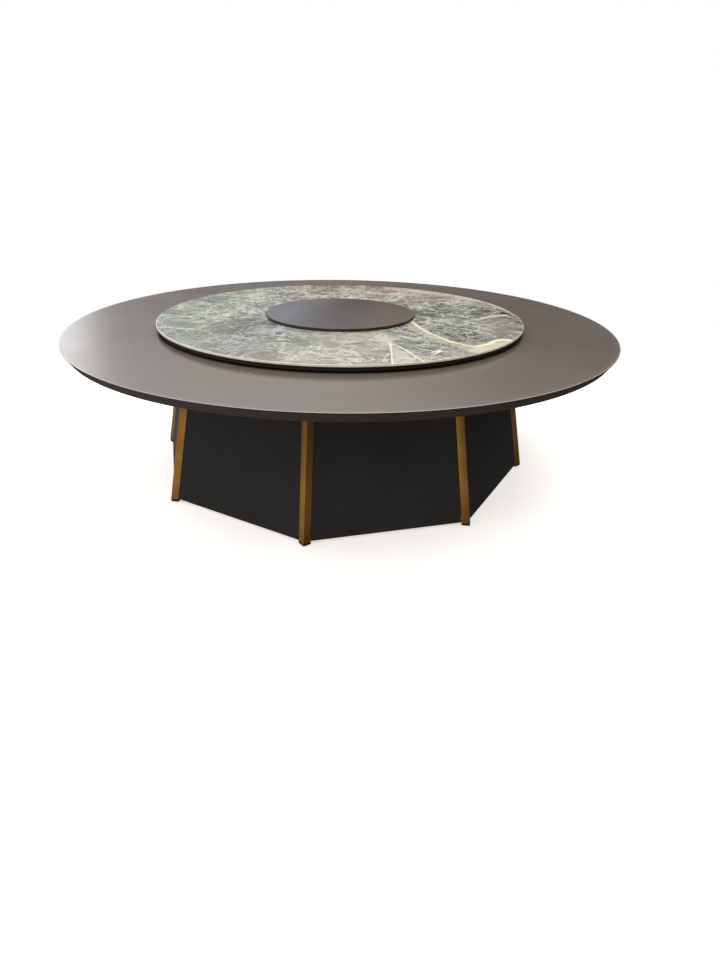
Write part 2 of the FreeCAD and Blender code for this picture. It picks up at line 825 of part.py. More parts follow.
def tooth_edges(side, centre, root_radius, has_radial_foot):
    """One tooth's two flanks and tip, as edges in order, about the angle of its centre."""
    rising = [polar(radius, centre - angle) for radius, angle in side]
    falling = [polar(radius, centre + angle) for radius, angle in reversed(side)]
    edges = []
    if has_radial_foot:
        edges.append(Part.makeLine(rising[0], rising[1]))
        rising = rising[1:]
    edges.append(spline(rising))
    tip_middle = polar(side[-1][0], centre)
    edges.append(Part.Arc(rising[-1], tip_middle, falling[0]).toShape())
    if has_radial_foot:
        edges.append(spline(falling[:-1]))
        edges.append(Part.makeLine(falling[-2], falling[-1]))
    else:
        edges.append(spline(falling))
    return edges


def gear_blank(teeth, turn):
    """Face of a spur gear; a tooth points along the turn angle, in degrees."""
    pitch_radius = size("tooth_module") * teeth / 2
    root_radius = pitch_radius - DEDENDUM_SHARE * size("tooth_module")
    tip_radius = pitch_radius + ADDENDUM_SHARE * size("tooth_module")
    side = flank(pitch_radius, teeth, root_radius, tip_radius)
    has_radial_foot = root_radius < pitch_radius * math.cos(math.radians(PRESSURE_ANGLE))
    step = 2 * math.pi / teeth
    edges = []
    for n in range(int(teeth)):
        centre = math.radians(turn) + n * step
        edges.extend(tooth_edges(side, centre, root_radius, has_radial_foot))
        foot = polar(root_radius, centre + side[0][1])
        middle = polar(root_radius, centre + step / 2)
        next_foot = polar(root_radius, centre + step - side[0][1])
        edges.append(Part.Arc(foot, middle, next_foot).toShape())
    return Part.Face(Part.Wire(edges))


def drive_centre_distance():
    return size("tooth_module") * (size("gear_teeth") + size("pinion_teeth")) / 2 + size("mesh_play")


def gear_under():
    deck_top = size("top_height") - size("leaf_thickness") - size("arm_height")
    hub_under = deck_top + size("spindle_flange_thickness") + size("washer_thickness")
    return hub_under + size("hub_shoulder_height")


def make_gear():
    """Spur gear on the hub, with a thinner web between its rim and its boss."""
    under = gear_under()
    width = size("gear_width")
    face = gear_blank(size("gear_teeth"), PINION_ANGLE)
    solid = face.extrude(FreeCAD.Vector(0, 0, width))
    root_radius = size("tooth_module") * (size("gear_teeth") / 2 - DEDENDUM_SHARE)
    recess_outer = root_radius - size("gear_rim_depth")
    boss_radius = size("hub_radius") + size("gear_boss")
    recess_depth = width - size("gear_web_thickness")
    recess = Part.makeCylinder(recess_outer, recess_depth, FreeCAD.Vector(0, 0, width - recess_depth))
    boss = Part.makeCylinder(boss_radius, width)
    bore = Part.makeCylinder(size("hub_radius") + size("running_clearance"), width)
    item = doc.addObject("Part::Feature", "hub_gear")
    item.Shape = solid.cut(recess.cut(boss)).cut(bore)
    item.Placement = FreeCAD.Placement(FreeCAD.Vector(0, 0, under), FreeCAD.Rotation())
    keep(item, "hub_gear")


def make_pinion():
    """Pinion on the output shaft, in mesh with the hub's gear at rest."""
    teeth = size("pinion_teeth")
    gap_turn = PINION_ANGLE + FULL_TURN / 2 + FULL_TURN / teeth / 2
    solid = gear_blank(teeth, gap_turn).extrude(FreeCAD.Vector(0, 0, size("pinion_width")))
    bore = Part.makeCylinder(size("shaft_radius") + size("running_clearance"), size("pinion_width"))
    item = doc.addObject("Part::Feature", "drive_pinion")
    item.Shape = solid.cut(bore)
    centre = polar(drive_centre_distance(), math.radians(PINION_ANGLE))
    centre.z = gear_under() - size("pinion_drop")
    item.Placement = FreeCAD.Placement(centre, FreeCAD.Rotation())
    keep(item, "drive_pinion")


def on_drive_axis(body):
    bind(
        body,
        Placement__Base__x=f"{DRIVE_DISTANCE} * cos({PINION_ANGLE})",
        Placement__Base__y=f"{DRIVE_DISTANCE} * sin({PINION_ANGLE})",
    )
    return body


def make_output_shaft():
    """Shaft from inside the gearbox up through the deck, with a collar under the pinion."""
    low = f"({DECK_UNDER} - Sizes.shaft_socket)"
    collar_low = ARM_UNDER
    collar_high = f"({GEAR_UNDER} - Sizes.pinion_drop)"
    high = f"({collar_high} + Sizes.pinion_width)"
    collar = "(Sizes.shaft_radius + Sizes.shaft_collar_step)"
    corners = [
        ("0", low),
        ("Sizes.shaft_radius", low),
        ("Sizes.shaft_radius", collar_low),
        (collar, collar_low),
        (collar, collar_high),
        ("Sizes.shaft_radius", collar_high),
        ("Sizes.shaft_radius", high),
        ("0", high),
    ]
    keep(on_drive_axis(turned("output_shaft", corners)), "output_shaft")


def make_gearbox():
    """Square cast gearbox, its plate flat against the deck's underside."""
    body = new_body("gearbox")
    half_plate = "Sizes.gearbox_plate_side / 2"
    half_box = "Sizes.gearbox_side / 2"
    box_low = f"({DECK_UNDER} - Sizes.gearbox_height)"
    case = draw_outline(
        sketch_on(body, "XY_Plane", box_low), rectangle(f"-{half_box}", half_box, f"-{half_box}", half_box)
    )
    casing = pad(body, case, "Sizes.gearbox_height")
    round_uprights(body, casing, "gearbox_corners", "Sizes.gearbox_round")
    plate = draw_outline(
        sketch_on(body, "XY_Plane", f"{DECK_UNDER} - Sizes.gearbox_plate_thickness"),
        rectangle(f"-{half_plate}", half_plate, f"-{half_plate}", half_plate),
    )
    pad(body, plate, "Sizes.gearbox_plate_thickness")
    socket = draw_circle(
        sketch_on(body, "XY_Plane", DECK_UNDER), "Sizes.shaft_radius + Sizes.running_clearance"
    )
    bore = body.newObject("PartDesign::Pocket", "gearbox_socket")
    bore.Profile = socket
    bind(bore, Length="Sizes.shaft_socket + Sizes.running_clearance")
    keep(on_drive_axis(body), "gearbox")


def make_motor():
    """Round motor hanging under the gearbox, with stepped end caps."""
    high = f"({DECK_UNDER} - Sizes.gearbox_height)"
    low = f"({high} - Sizes.motor_length)"
    step = "(Sizes.motor_radius - Sizes.motor_cap_step)"
    corners = [
        ("0", low),
        (step, low),
        (step, f"{low} + Sizes.motor_end_cap"),
        ("Sizes.motor_radius", f"{low} + Sizes.motor_end_cap"),
        ("Sizes.motor_radius", f"{high} - Sizes.motor_end_cap"),
        (step, f"{high} - Sizes.motor_end_cap"),
        (step, high),
        ("0", high),
    ]
    keep(on_drive_axis(turned("motor", corners)), "motor")


def make_control_box():
    """Plastic control box on the base board, its lid marked off by a shallow groove."""
    body = new_body("control_box")
    half_length = "Sizes.control_length / 2"
    half_width = "Sizes.control_width / 2"
    plan = rectangle(f"-{half_length}", half_length, f"-{half_width}", half_width)
    casing = pad(body, draw_outline(sketch_on(body, "XY_Plane", BASE_TOP), plan), "Sizes.control_height")
    round_uprights(body, casing, "control_corners", "Sizes.control_round")
    groove_level = f"({BASE_TOP} + Sizes.control_height - Sizes.control_lid)"
    groove = sketch_on(body, "XY_Plane", groove_level)
    for offset in ("Sizes.control_groove", "-Sizes.control_groove"):
        long_reach = f"({half_length} + {offset})"
        short_reach = f"({half_width} + {offset})"
        draw_outline(
            groove, rectangle(f"-{long_reach}", long_reach, f"-{short_reach}", short_reach)
        )
    cut = body.newObject("PartDesign::Pocket", "lid_groove")
    cut.Profile = groove
    bind(cut, Length="Sizes.control_groove")
    bind(
        body,
        Placement__Base__x=f"Sizes.control_place * cos({CONTROL_BOX_ANGLE})",
        Placement__Base__y=f"Sizes.control_place * sin({CONTROL_BOX_ANGLE})",
    )
    keep(body, "control_box")


def make_gland():
    """Nylon cable gland through the base board: nut below, domed cap above, open bore."""
    bore = "Sizes.gland_bore_radius"
    thread = "(Sizes.gland_thread_radius - Sizes.screw_clearance)"
    nut = "Sizes.gland_nut_radius"
    corners = [
        (bore, f"{BASE_UNDER} - Sizes.gland_nut_height"),
        (nut, f"{BASE_UNDER} - Sizes.gland_nut_height"),
        (nut, BASE_UNDER),
        (thread, BASE_UNDER),
        (thread, BASE_TOP),
        (nut, BASE_TOP),
        (nut, f"{BASE_TOP} + Sizes.gland_nut_height"),
        ("Sizes.gland_dome_top_radius", f"{BASE_TOP} + Sizes.gland_nut_height + Sizes.gland_dome_height"),
        (bore, f"{BASE_TOP} + Sizes.gland_nut_height + Sizes.gland_dome_height"),
    ]
    body = turned("cable_gland", corners)
    bind(
        body,
        Placement__Base__x=f"Sizes.gland_place * cos({GLAND_ANGLE})",
        Placement__Base__y=f"Sizes.gland_place * sin({GLAND_ANGLE})",
    )
    keep(body, "cable_gland")


for post_number in range(1, int(size("post_count")) + 1):
    make_post(post_number)
    make_panel(post_number)
    make_arm(post_number)
make_glides()
make_board(
    "top_deck",
    DECK_UNDER,
    "Sizes.deck_thickness",
    "Sizes.shaft_hole_radius",
    DRIVE_DISTANCE,
    PINION_ANGLE,
)
make_board(
    "base_board",
    BASE_UNDER,
    "Sizes.base_board_thickness",
    "Sizes.gland_thread_radius",
    "Sizes.gland_place",
    GLAND_ANGLE,
)
shared_cuts = leaf_cutter()
for leaf_number in range(1, int(size("leaf_count")) + 1):
    make_leaf(leaf_number, shared_cuts)
    make_lipping(leaf_number)
make_leaf_screws()
make_spindle()
make_washer()
make_hub()
make_bushes()
make_hub_screws()
make_turntable()
for roller_number in range(1, int(size("roller_count")) + 1):
    make_roller(roller_number)
make_brackets()
make_gear()
make_pinion()
make_output_shaft()
make_gearbox()
make_motor()
make_control_box()
make_gland()
doc.recompute()

for item in doc.Objects:
    faults = [state for state in item.State if state in ("Invalid", "Error")]
    if faults:
        raise RuntimeError(f"{item.Name} is {faults[0]}")
for item in parts:
    if item.Shape.isNull() or not item.Shape.isValid():
        raise RuntimeError(f"{item.Label} has no valid shape")
    if not item.Shape.Solids:
        raise RuntimeError(f"{item.Label} has no solid")

os.makedirs("parts", exist_ok=True)
for item in parts:
    item.Shape.exportStep(os.path.join("parts", item.Label + ".step"))
print(len(parts), "sub-parts written")
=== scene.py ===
import bmesh
import bpy
import math
from mathutils import Matrix, Vector


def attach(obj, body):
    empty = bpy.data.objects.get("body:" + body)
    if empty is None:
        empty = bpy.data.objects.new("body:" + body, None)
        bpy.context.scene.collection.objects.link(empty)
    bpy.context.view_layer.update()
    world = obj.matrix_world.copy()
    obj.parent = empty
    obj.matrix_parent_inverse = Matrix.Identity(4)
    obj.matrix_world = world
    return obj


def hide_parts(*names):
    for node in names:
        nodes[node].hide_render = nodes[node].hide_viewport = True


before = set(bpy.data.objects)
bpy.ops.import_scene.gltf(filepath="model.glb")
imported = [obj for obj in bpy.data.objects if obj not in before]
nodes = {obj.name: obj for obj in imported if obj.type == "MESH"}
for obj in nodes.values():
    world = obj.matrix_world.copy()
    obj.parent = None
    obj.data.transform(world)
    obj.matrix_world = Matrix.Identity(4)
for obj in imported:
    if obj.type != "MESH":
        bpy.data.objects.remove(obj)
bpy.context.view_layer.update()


# The studio: a pale paper floor that fades into a white tent, which glows overhead and down its
# left side, with a soft scrim above and a narrow fill in front. The camera stands at eye height.
camera_data = bpy.data.cameras.new("camera")
camera_data.lens = 23.353
camera_data.sensor_width = 36
camera_data.shift_x = 0.0198
camera = bpy.data.objects.new("camera", camera_data)
bpy.context.scene.collection.objects.link(camera)
bpy.context.scene.camera = camera
camera_place = Vector((0.4921, -3.3317, 1.5035))
forward = Vector((-0.126801, 0.885436, -0.447130))
rightward = Vector((0.989078, 0.147010, 0.010626))
upward = rightward.cross(forward)
turn = Matrix((rightward, upward, -forward)).transposed()
camera.matrix_world = Matrix.Translation(camera_place) @ turn.to_4x4()
bpy.context.scene.view_settings.view_transform = "Standard"


def studio_light(name, place, towards, size, watts, colour):
    """A soft rectangular lamp, turned to face a point."""
    data = bpy.data.lights.new(name, "AREA")
    data.shape = "RECTANGLE"
    data.size, data.size_y = size
    data.energy = watts
    data.color = colour
    lamp = bpy.data.objects.new(name, data)
    bpy.context.scene.collection.objects.link(lamp)
    lamp.location = place
    aim = Vector(towards) - Vector(place)
    lamp.rotation_euler = aim.to_track_quat("-Z", "Y").to_euler()
    return lamp


scrim = studio_light(
    "overhead_scrim", (-1.0, 0.5, 3.7), (-1.0, 0.5, 0), (7.0, 7.0), 52, (1, 0.95, 0.88)
)
scrim.visible_glossy = False
studio_light("front_fill", (-1.0, -6.2, 1.3), (0, 0, 0.4), (1.6, 2.2), 26, (1, 0.96, 0.9))


def put(tree, kind, inputs=None, **settings):
    """Adds a node, sets what it is told, and fills or links its inputs."""
    node = tree.nodes.new(kind)
    for key, value in settings.items():
        setattr(node, key, value)
    for key, value in (inputs or {}).items():
        socket = node.inputs[key]
        if isinstance(value, bpy.types.NodeSocket):
            tree.links.new(value, socket)
        else:
            socket.default_value = value
    return node


def ranged(tree, value, low, high, new_low=0.0, new_high=1.0, smooth=False):
    """Maps a value from one span to another and holds it there."""
    inputs = {
        "Value": value,
        "From Min": low,
        "From Max": high,
        "To Min": new_low,
        "To Max": new_high,
    }
    kind = "SMOOTHSTEP" if smooth else "LINEAR"
    return put(tree, "ShaderNodeMapRange", inputs, interpolation_type=kind).outputs[0]


def sums(tree, how, first, second=0.0):
    """One step of arithmetic."""
    return put(tree, "ShaderNodeMath", {0: first, 1: second}, operation=how).outputs[0]


def times(tree, first, second):
    return sums(tree, "MULTIPLY", first, second)


def added(tree, first, *others):
    for other in others:
        first = sums(tree, "ADD", first, other)
    return first


def strongest(tree, first, *others):
    """The highest of several values."""
    for other in others:
        first = sums(tree, "MAXIMUM", first, other)
    return first


def axis_of(tree, place, letter):
    return put(tree, "ShaderNodeSeparateXYZ", {"Vector": place}).outputs[letter]


def length_of(tree, vector):
    return put(tree, "ShaderNodeVectorMath", {0: vector}, operation="LENGTH").outputs["Value"]


def blended(tree, share, first, second, how="MIX"):
    """Mixes two colours; each is a socket or three numbers."""
    node = tree.nodes.new("ShaderNodeMix")
    node.data_type = "RGBA"
    node.blend_type = how
    for index, value in ((0, share), (6, first), (7, second)):
        if isinstance(value, bpy.types.NodeSocket):
            tree.links.new(value, node.inputs[index])
        elif index:
            node.inputs[index].default_value = (*value, 1)
        else:
            node.inputs[index].default_value = value
    return node.outputs[2]


def layered(tree, ground, *layers, how="MIX"):
    """Lays colours over a ground one after another, each by its own share."""
    for share, colour in layers:
        ground = blended(tree, share, ground, colour, how)
    return ground


world = bpy.data.worlds.new("surround")
bpy.context.scene.world = world
world.use_nodes = True
surround = world.node_tree
surround.nodes.clear()
direction = put(surround, "ShaderNodeTexCoord").outputs["Generated"]
height = axis_of(surround, direction, "Z")


def pointing(way):
    """How far a ray points one way, from -1 to 1."""
    inputs = {0: direction, 1: way}
    return put(surround, "ShaderNodeVectorMath", inputs, operation="DOT_PRODUCT").outputs["Value"]


def glow(value, dark, lit, strength=1.0):
    """Light that comes up softly from one value to another."""
    return ranged(surround, value, dark, lit, 0, strength, smooth=True)


right_of_table = pointing((0.9899, 0.1418, 0))
behind_table = pointing((-0.1418, 0.9899, 0))

# Low down the tent is dim: some light from the front, more from the left, and a tall gap behind.
front_low = ranged(surround, behind_table, 1, -1, 0.03, 0.21)
back_shade = times(surround, glow(behind_table, 0.4, 0.6, 0.85), glow(height, 0.13, 0.04))
unshaded = sums(surround, "SUBTRACT", 1.0, back_shade)
left_low = times(surround, ranged(surround, right_of_table, 0, -1, 0, 0.36), unshaded)
right_low = ranged(surround, right_of_table, 0, 1, 0, 0.02)
off_window = sums(surround, "ABSOLUTE", pointing((0.833, 0.553, 0)))
window = glow(off_window, 0.085, 0.015, 2.2)
window = times(surround, window, ranged(surround, behind_table, 0.3, 0.6))
window = times(surround, window, glow(height, 0.4, 0.25))
sky_gap = glow(pointing((-0.235, 0.952, 0.195)), 0.993, 0.9995)
low_glow = added(surround, front_low, left_low, right_low, window, times(surround, sky_gap, 0.09))

# High up it is bright, overhead and down its left wall.
lift = sums(surround, "SUBTRACT", height, ranged(surround, right_of_table, 0, 1, 0, 0.31))
roof = glow(lift, 0.2, 0.35, 1.28)
left_wall = times(surround, glow(right_of_table, -0.2, -0.56, 0.85), glow(height, 0.06, 0.165))
brightness = added(surround, strongest(surround, roof, left_wall), low_glow)
tent_tint = layered(
    surround,
    (1.0, 0.95, 0.9),
    (ranged(surround, behind_table, -0.3, 0.5), (0.96, 0.97, 1.0)),
    (sky_gap, (0.68, 0.74, 1.0)),
    (ranged(surround, height, 0.24, 0.5), (1.0, 0.945, 0.865)),
)
seen = put(surround, "ShaderNodeBackground", {"Color": (1, 1, 1, 1), "Strength": 1.0}).outputs[0]
cast_inputs = {"Color": tent_tint, "Strength": brightness}
cast = put(surround, "ShaderNodeBackground", cast_inputs).outputs[0]
to_camera = put(surround, "ShaderNodeLightPath").outputs["Is Camera Ray"]
either = put(surround, "ShaderNodeMixShader", {0: to_camera, 1: cast, 2: seen}).outputs[0]
put(surround, "ShaderNodeOutputWorld", {"Surface": either})


def finish_named(name, colour, roughness, metallic=0.0, specular=0.5):
    """Starts a material; its tree, its surface node and its place on the object come back too."""
    material = bpy.data.materials.new(name)
    material.use_nodes = True
    tree = material.node_tree
    surface = tree.nodes["Principled BSDF"]
    surface.inputs["Base Color"].default_value = (*colour, 1)
    surface.inputs["Roughness"].default_value = roughness
    surface.inputs["Metallic"].default_value = metallic
    surface.inputs["Specular IOR Level"].default_value = specular
    place = put(tree, "ShaderNodeTexCoord").outputs["Object"]
    return material, tree, surface, place


floor_radius, floor_sides = 14, 64
fade_start, fade_end = 2.2, 5.5
floor_turns = [2 * math.pi * n / floor_sides for n in range(floor_sides)]
floor_ring = [(floor_radius * math.cos(t), floor_radius * math.sin(t), 0) for t in floor_turns]
floor_mesh = bpy.data.meshes.new("floor")
floor_mesh.from_pydata(floor_ring, [], [list(range(floor_sides))])
floor = bpy.data.objects.new("floor", floor_mesh)
bpy.context.scene.collection.objects.link(floor)
paper, tree, surface, place = finish_named("floor_paper", (0.93, 0.93, 0.925), 0.9, specular=0.1)
surface.inputs["Emission Color"].default_value = (1, 1, 1, 1)
surface.inputs["Emission Strength"].default_value = 0.45
fade = ranged(tree, length_of(tree, place), fade_start, fade_end, 1, 0, smooth=True)
from_below = put(tree, "ShaderNodeNewGeometry").outputs["Backfacing"]
from_above = sums(tree, "SUBTRACT", 1.0, from_below)
tree.links.new(times(tree, fade, from_above), surface.inputs["Alpha"])
floor_mesh.materials.append(paper)
floor.visible_glossy = False


# Two eight-sided birch plywood boards tie the pedestal together: the base board near the floor and
# the deck that the arms lie on. Both are sawn from 18 mm board, with the plies bare at the edge.
def grain(tree, place, scale, detail=4.0, roughness=0.55, stretch=None, distortion=0.0):
    """Noise from 0 to 1 on the object's own places, drawn out along an axis where asked."""
    if stretch:
        place = put(tree, "ShaderNodeMapping", {"Vector": place, "Scale": stretch}).outputs[0]
    inputs = {
        "Vector": place,
        "Scale": scale,
        "Detail": detail,
        "Roughness": roughness,
        "Distortion": distortion,
    }
    return put(tree, "ShaderNodeTexNoise", inputs).outputs["Fac"]


def painted(tree, surface, tone, roughness=None):
    """Links the colour, and the roughness where that varies too."""
    tree.links.new(tone, surface.inputs["Base Color"])
    if roughness:
        tree.links.new(roughness, surface.inputs["Roughness"])


def raised(tree, surface, relief, depth, strength=1.0):
    """Gives the surface relief, with its depth in metres."""
    inputs = {"Height": relief, "Distance": depth, "Strength": strength}
    tree.links.new(put(tree, "ShaderNodeBump", inputs).outputs[0], surface.inputs["Normal"])


def give(material, *names):
    """Puts one finish on CAD pieces."""
    for name in names:
        piece = nodes[name]
        piece.data.materials.clear()
        piece.data.materials.append(material)


ply_thickness = 0.0014
plywood, tree, surface, place = finish_named("birch_plywood", (0.6, 0.44, 0.26), 0.55)
fibres = grain(tree, place, 6, 8, 0.6, stretch=(1.5, 22, 22))
rings = grain(tree, place, 2.2, 3, 0.5, stretch=(0.5, 4, 4), distortion=0.8)
face_tone = layered(
    tree,
    (0.47, 0.31, 0.16),
    (ranged(tree, fibres, 0.3, 0.7), (0.68, 0.51, 0.31)),
    (ranged(tree, rings, 0.35, 0.65, 0, 0.5), (0.56, 0.38, 0.21)),
)
ply_wave = sums(tree, "PINGPONG", axis_of(tree, place, "Z"), ply_thickness)
pale_ply = ranged(tree, ply_wave, 0.0005, 0.0009)
ply_tone = blended(tree, pale_ply, (0.3, 0.18, 0.09), (0.64, 0.47, 0.28))
facing = put(tree, "ShaderNodeNewGeometry").outputs["Normal"]
level_face = ranged(tree, sums(tree, "ABSOLUTE", axis_of(tree, facing, "Z")), 0.4, 0.6)
painted(tree, surface, blended(tree, level_face, ply_tone, face_tone))
raised(tree, surface, fibres, 0.00025, 0.6)
give(plywood, "base_board", "top_deck")


# Eight square corner posts, brass-plated steel tube brushed lengthwise and lacquered. They stand
# corner outwards, lean in towards the top, and carry the arms on their level-cut heads.
brass, tree, surface, place = finish_named("satin_brass", (0.5, 0.29, 0.085), 0.32, metallic=1.0)
brushing = grain(tree, place, 90, 3, 0.6, stretch=(14, 14, 0.25))
clouding = grain(tree, place, 7, 5, 0.6)
up_the_post = axis_of(tree, place, "Z")
low_down = ranged(tree, up_the_post, 0.02, 0.12, 1, 0, smooth=True)
# Painted shade: the brass darkens towards the heads, under the overhang of the top.
painted_shade_high = ranged(tree, up_the_post, 0.22, 0.66, 0, 0.8, smooth=True)
tone = layered(
    tree,
    (0.43, 0.217, 0.053),
    (ranged(tree, clouding, 0.35, 0.7), (0.55, 0.297, 0.08)),
    (ranged(tree, brushing, 0.3, 0.7, 0, 0.35), (0.36, 0.17, 0.04)),
    (times(tree, low_down, 0.45), (0.2, 0.075, 0.025)),
    (painted_shade_high, (0.17, 0.076, 0.016)),
)
painted(tree, surface, tone, ranged(tree, clouding, 0.3, 0.7, 0.26, 0.38))
raised(tree, surface, brushing, 0.00008, 0.5)


def geometry_tree(name):
    tree = bpy.data.node_groups.new(name, "GeometryNodeTree")
    tree.interface.new_socket("Geometry", in_out="OUTPUT", socket_type="NodeSocketGeometry")
    return tree


def inlet(tree, name, kind):
    """Adds a named input and returns its identifier, by which a modifier sets it."""
    kind = "NodeSocket" + kind
    return tree.interface.new_socket(name, in_out="INPUT", socket_type=kind).identifier


def placed(tree, shape, place=(0, 0, 0), turned_by=(0, 0, 0)):
    inputs = {"Geometry": shape, "Translation": place, "Rotation": turned_by}
    return put(tree, "GeometryNodeTransform", inputs).outputs[0]


def together(tree, *shapes):
    node = tree.nodes.new("GeometryNodeJoinGeometry")
    for shape in shapes:
        tree.links.new(shape, node.inputs[0])
    return node.outputs[0]


def round_the_axis(tree, shape, number):
    """Repeats a shape at even turns round the table's axis."""
    points = put(tree, "GeometryNodePoints", {"Count": number}).outputs[0]
    step = sums(tree, "DIVIDE", 2 * math.pi, number)
    angle = times(tree, tree.nodes.new("GeometryNodeInputIndex").outputs[0], step)
    euler = put(tree, "ShaderNodeCombineXYZ", {"Z": angle}).outputs[0]
    turned_by = put(tree, "FunctionNodeEulerToRotation", {"Euler": euler}).outputs[0]
    inputs = {"Points": points, "Instance": shape, "Rotation": turned_by}
    return put(tree, "GeometryNodeInstanceOnPoints", inputs).outputs[0]


def finished(tree, shape, finish, seam=0.000001):
    """Ends a tree: real mesh, merged seams, its finish on it."""
    real = put(tree, "GeometryNodeRealizeInstances", {"Geometry": shape}).outputs[0]
    inputs = {"Geometry": real, "Distance": seam}
    merged = put(tree, "GeometryNodeMergeByDistance", inputs).outputs[0]
    inputs = {"Geometry": merged, "Material": finish}
    dressed = put(tree, "GeometryNodeSetMaterial", inputs).outputs[0]
    tree.links.new(dressed, tree.nodes.new("NodeGroupOutput").inputs[0])


def grown(name, tree, values, sharp_angle=40):
    """Runs a tree of geometry nodes with its inputs set and keeps the result as a plain mesh."""
    holder = bpy.data.objects.new(name + "_holder", bpy.data.meshes.new(name + "_holder"))
    bpy.context.scene.collection.objects.link(holder)
    modifier = holder.modifiers.new("shape", "NODES")
    modifier.node_group = tree
    for identifier, value in values.items():
        modifier[identifier] = value
    graph = bpy.context.evaluated_depsgraph_get()
    mesh = bpy.data.meshes.new_from_object(holder.evaluated_get(graph))
    bpy.data.objects.remove(holder)
    mesh.name = name
    mesh.shade_smooth()
    mesh.set_sharp_from_angle(angle=math.radians(sharp_angle))
    piece = bpy.data.objects.new(name, mesh)
    bpy.context.scene.collection.objects.link(piece)
    return piece


posts = geometry_tree("leaning_posts")
post_values = {
    inlet(posts, "Number", "Int"): 8,
    inlet(posts, "Side", "Float"): 0.040,
    inlet(posts, "Corner rounding", "Float"): 0.003,
    inlet(posts, "Foot", "Vector"): (0, -1.015357, 0.016),
    inlet(posts, "Lean", "Vector"): (0, 0.144641, 0.689),
    inlet(posts, "Finish", "Material"): brass,
}
given = posts.nodes.new("NodeGroupInput").outputs
square_inputs = {"Width": given["Side"], "Height": given["Side"]}
square = put(posts, "GeometryNodeCurvePrimitiveQuadrilateral", square_inputs).outputs[0]
corner_steps = 5
eased_inputs = {"Curve": square, "Radius": given["Corner rounding"], "Count": corner_steps}
eased_square = put(posts, "GeometryNodeFilletCurve", eased_inputs, mode="POLY").outputs[0]
foot_end = put(posts, "GeometryNodeFillCurve", {"Curve": eased_square}, mode="NGONS").outputs[0]
corner_outwards = (0, 0, math.pi / 4)
foot_end = placed(posts, foot_end, given["Foot"], corner_outwards)
drawn_inputs = {
    "Mesh": foot_end,
    "Offset": given["Lean"],
    "Offset Scale": 1.0,
    "Individual": False,
}
drawn_up = put(posts, "GeometryNodeExtrudeMesh", drawn_inputs).outputs["Mesh"]
foot_face = put(posts, "GeometryNodeFlipFaces", {"Mesh": foot_end}).outputs[0]
closed = together(posts, drawn_up, foot_face)
finished(posts, round_the_axis(posts, closed, given["Number"]), given["Finish"])
brass_posts = grown("brass_posts", posts, post_values)
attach(brass_posts, "table")
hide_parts(*[f"corner_post_{n}" for n in range(1, 9)])


# Eight tapering side panels of 18 mm board, faced in a matt charcoal laminate and slid in between
# the posts. The laminate has a fine leathered grain, and hands have rubbed it unevenly.
charcoal, tree, surface, place = finish_named(
    "charcoal_laminate", (0.014, 0.014, 0.015), 0.6, specular=0.12
)
leathering = grain(tree, place, 420, 3, 0.6)
rubbing = grain(tree, place, 3.0, 6, 0.6)
tone = layered(
    tree,
    (0.0105, 0.0102, 0.0106),
    (ranged(tree, rubbing, 0.3, 0.7), (0.0165, 0.0155, 0.0152)),
    (ranged(tree, leathering, 0.45, 0.75, 0, 0.35), (0.03, 0.029, 0.029)),
)
painted(tree, surface, tone, ranged(tree, rubbing, 0.3, 0.7, 0.55, 0.68))
raised(tree, surface, leathering, 0.0002, 0.5)
give(charcoal, *[f"side_panel_{n}" for n in range(1, 9)])


# Dark nylon glides, moulded to plug up into the posts, keep the brass off the floor. The cable
# gland is the same nylon, with a nut that holds it in the base board.
def stippled(name, colour, roughness, specks, matt, relief, metallic=0.0, specular=0.5):
    """One colour with fine specks, which vary its roughness and stand up from it a little.

    The specks are a noise's scale, detail and coarseness, and the relief is metres and strength.
    """
    material, tree, surface, place = finish_named(name, colour, roughness, metallic, specular)
    speck = grain(tree, place, *specks)
    tree.links.new(ranged(tree, speck, 0.3, 0.7, *matt), surface.inputs["Roughness"])
    raised(tree, surface, speck, *relief)
    return material


nylon = stippled(
    "dark_nylon",
    (0.011, 0.0075, 0.0055),
    0.5,
    specks=(900, 2, 0.5),
    matt=(0.42, 0.58),
    relief=(0.0001, 0.4),
    specular=0.3,
)
give(nylon, "foot_glides", "cable_gland")


# Eight radial arms carry the leaves. Each is steel box tube, powder coated black, which lies on
# the deck and on the head of a post.
powder = stippled(
    "black_powder_coat",
    (0.022, 0.022, 0.023),
    0.45,
    specks=(260, 3, 0.5),
    matt=(0.38, 0.52),
    relief=(0.0002, 0.5),
)
give(powder, *[f"support_arm_{n}" for n in range(1, 9)])


# Pan head screws, four to an arm, go up through the arms into the leaves. They are zinc-plated
# steel with a cross recess; the hub's screws and the rollers' pressed brackets are plated too.
zinc, tree, surface, place = finish_named("zinc_plate", (0.55, 0.56, 0.58), 0.32, metallic=1.0)
spangle = grain(tree, place, 60, 4, 0.6)
tone = blended(tree, ranged(tree, spangle, 0.35, 0.65), (0.48, 0.49, 0.52), (0.66, 0.66, 0.66))
painted(tree, surface, tone, ranged(tree, spangle, 0.3, 0.7, 0.25, 0.42))
give(zinc, "hub_screws", "roller_brackets")

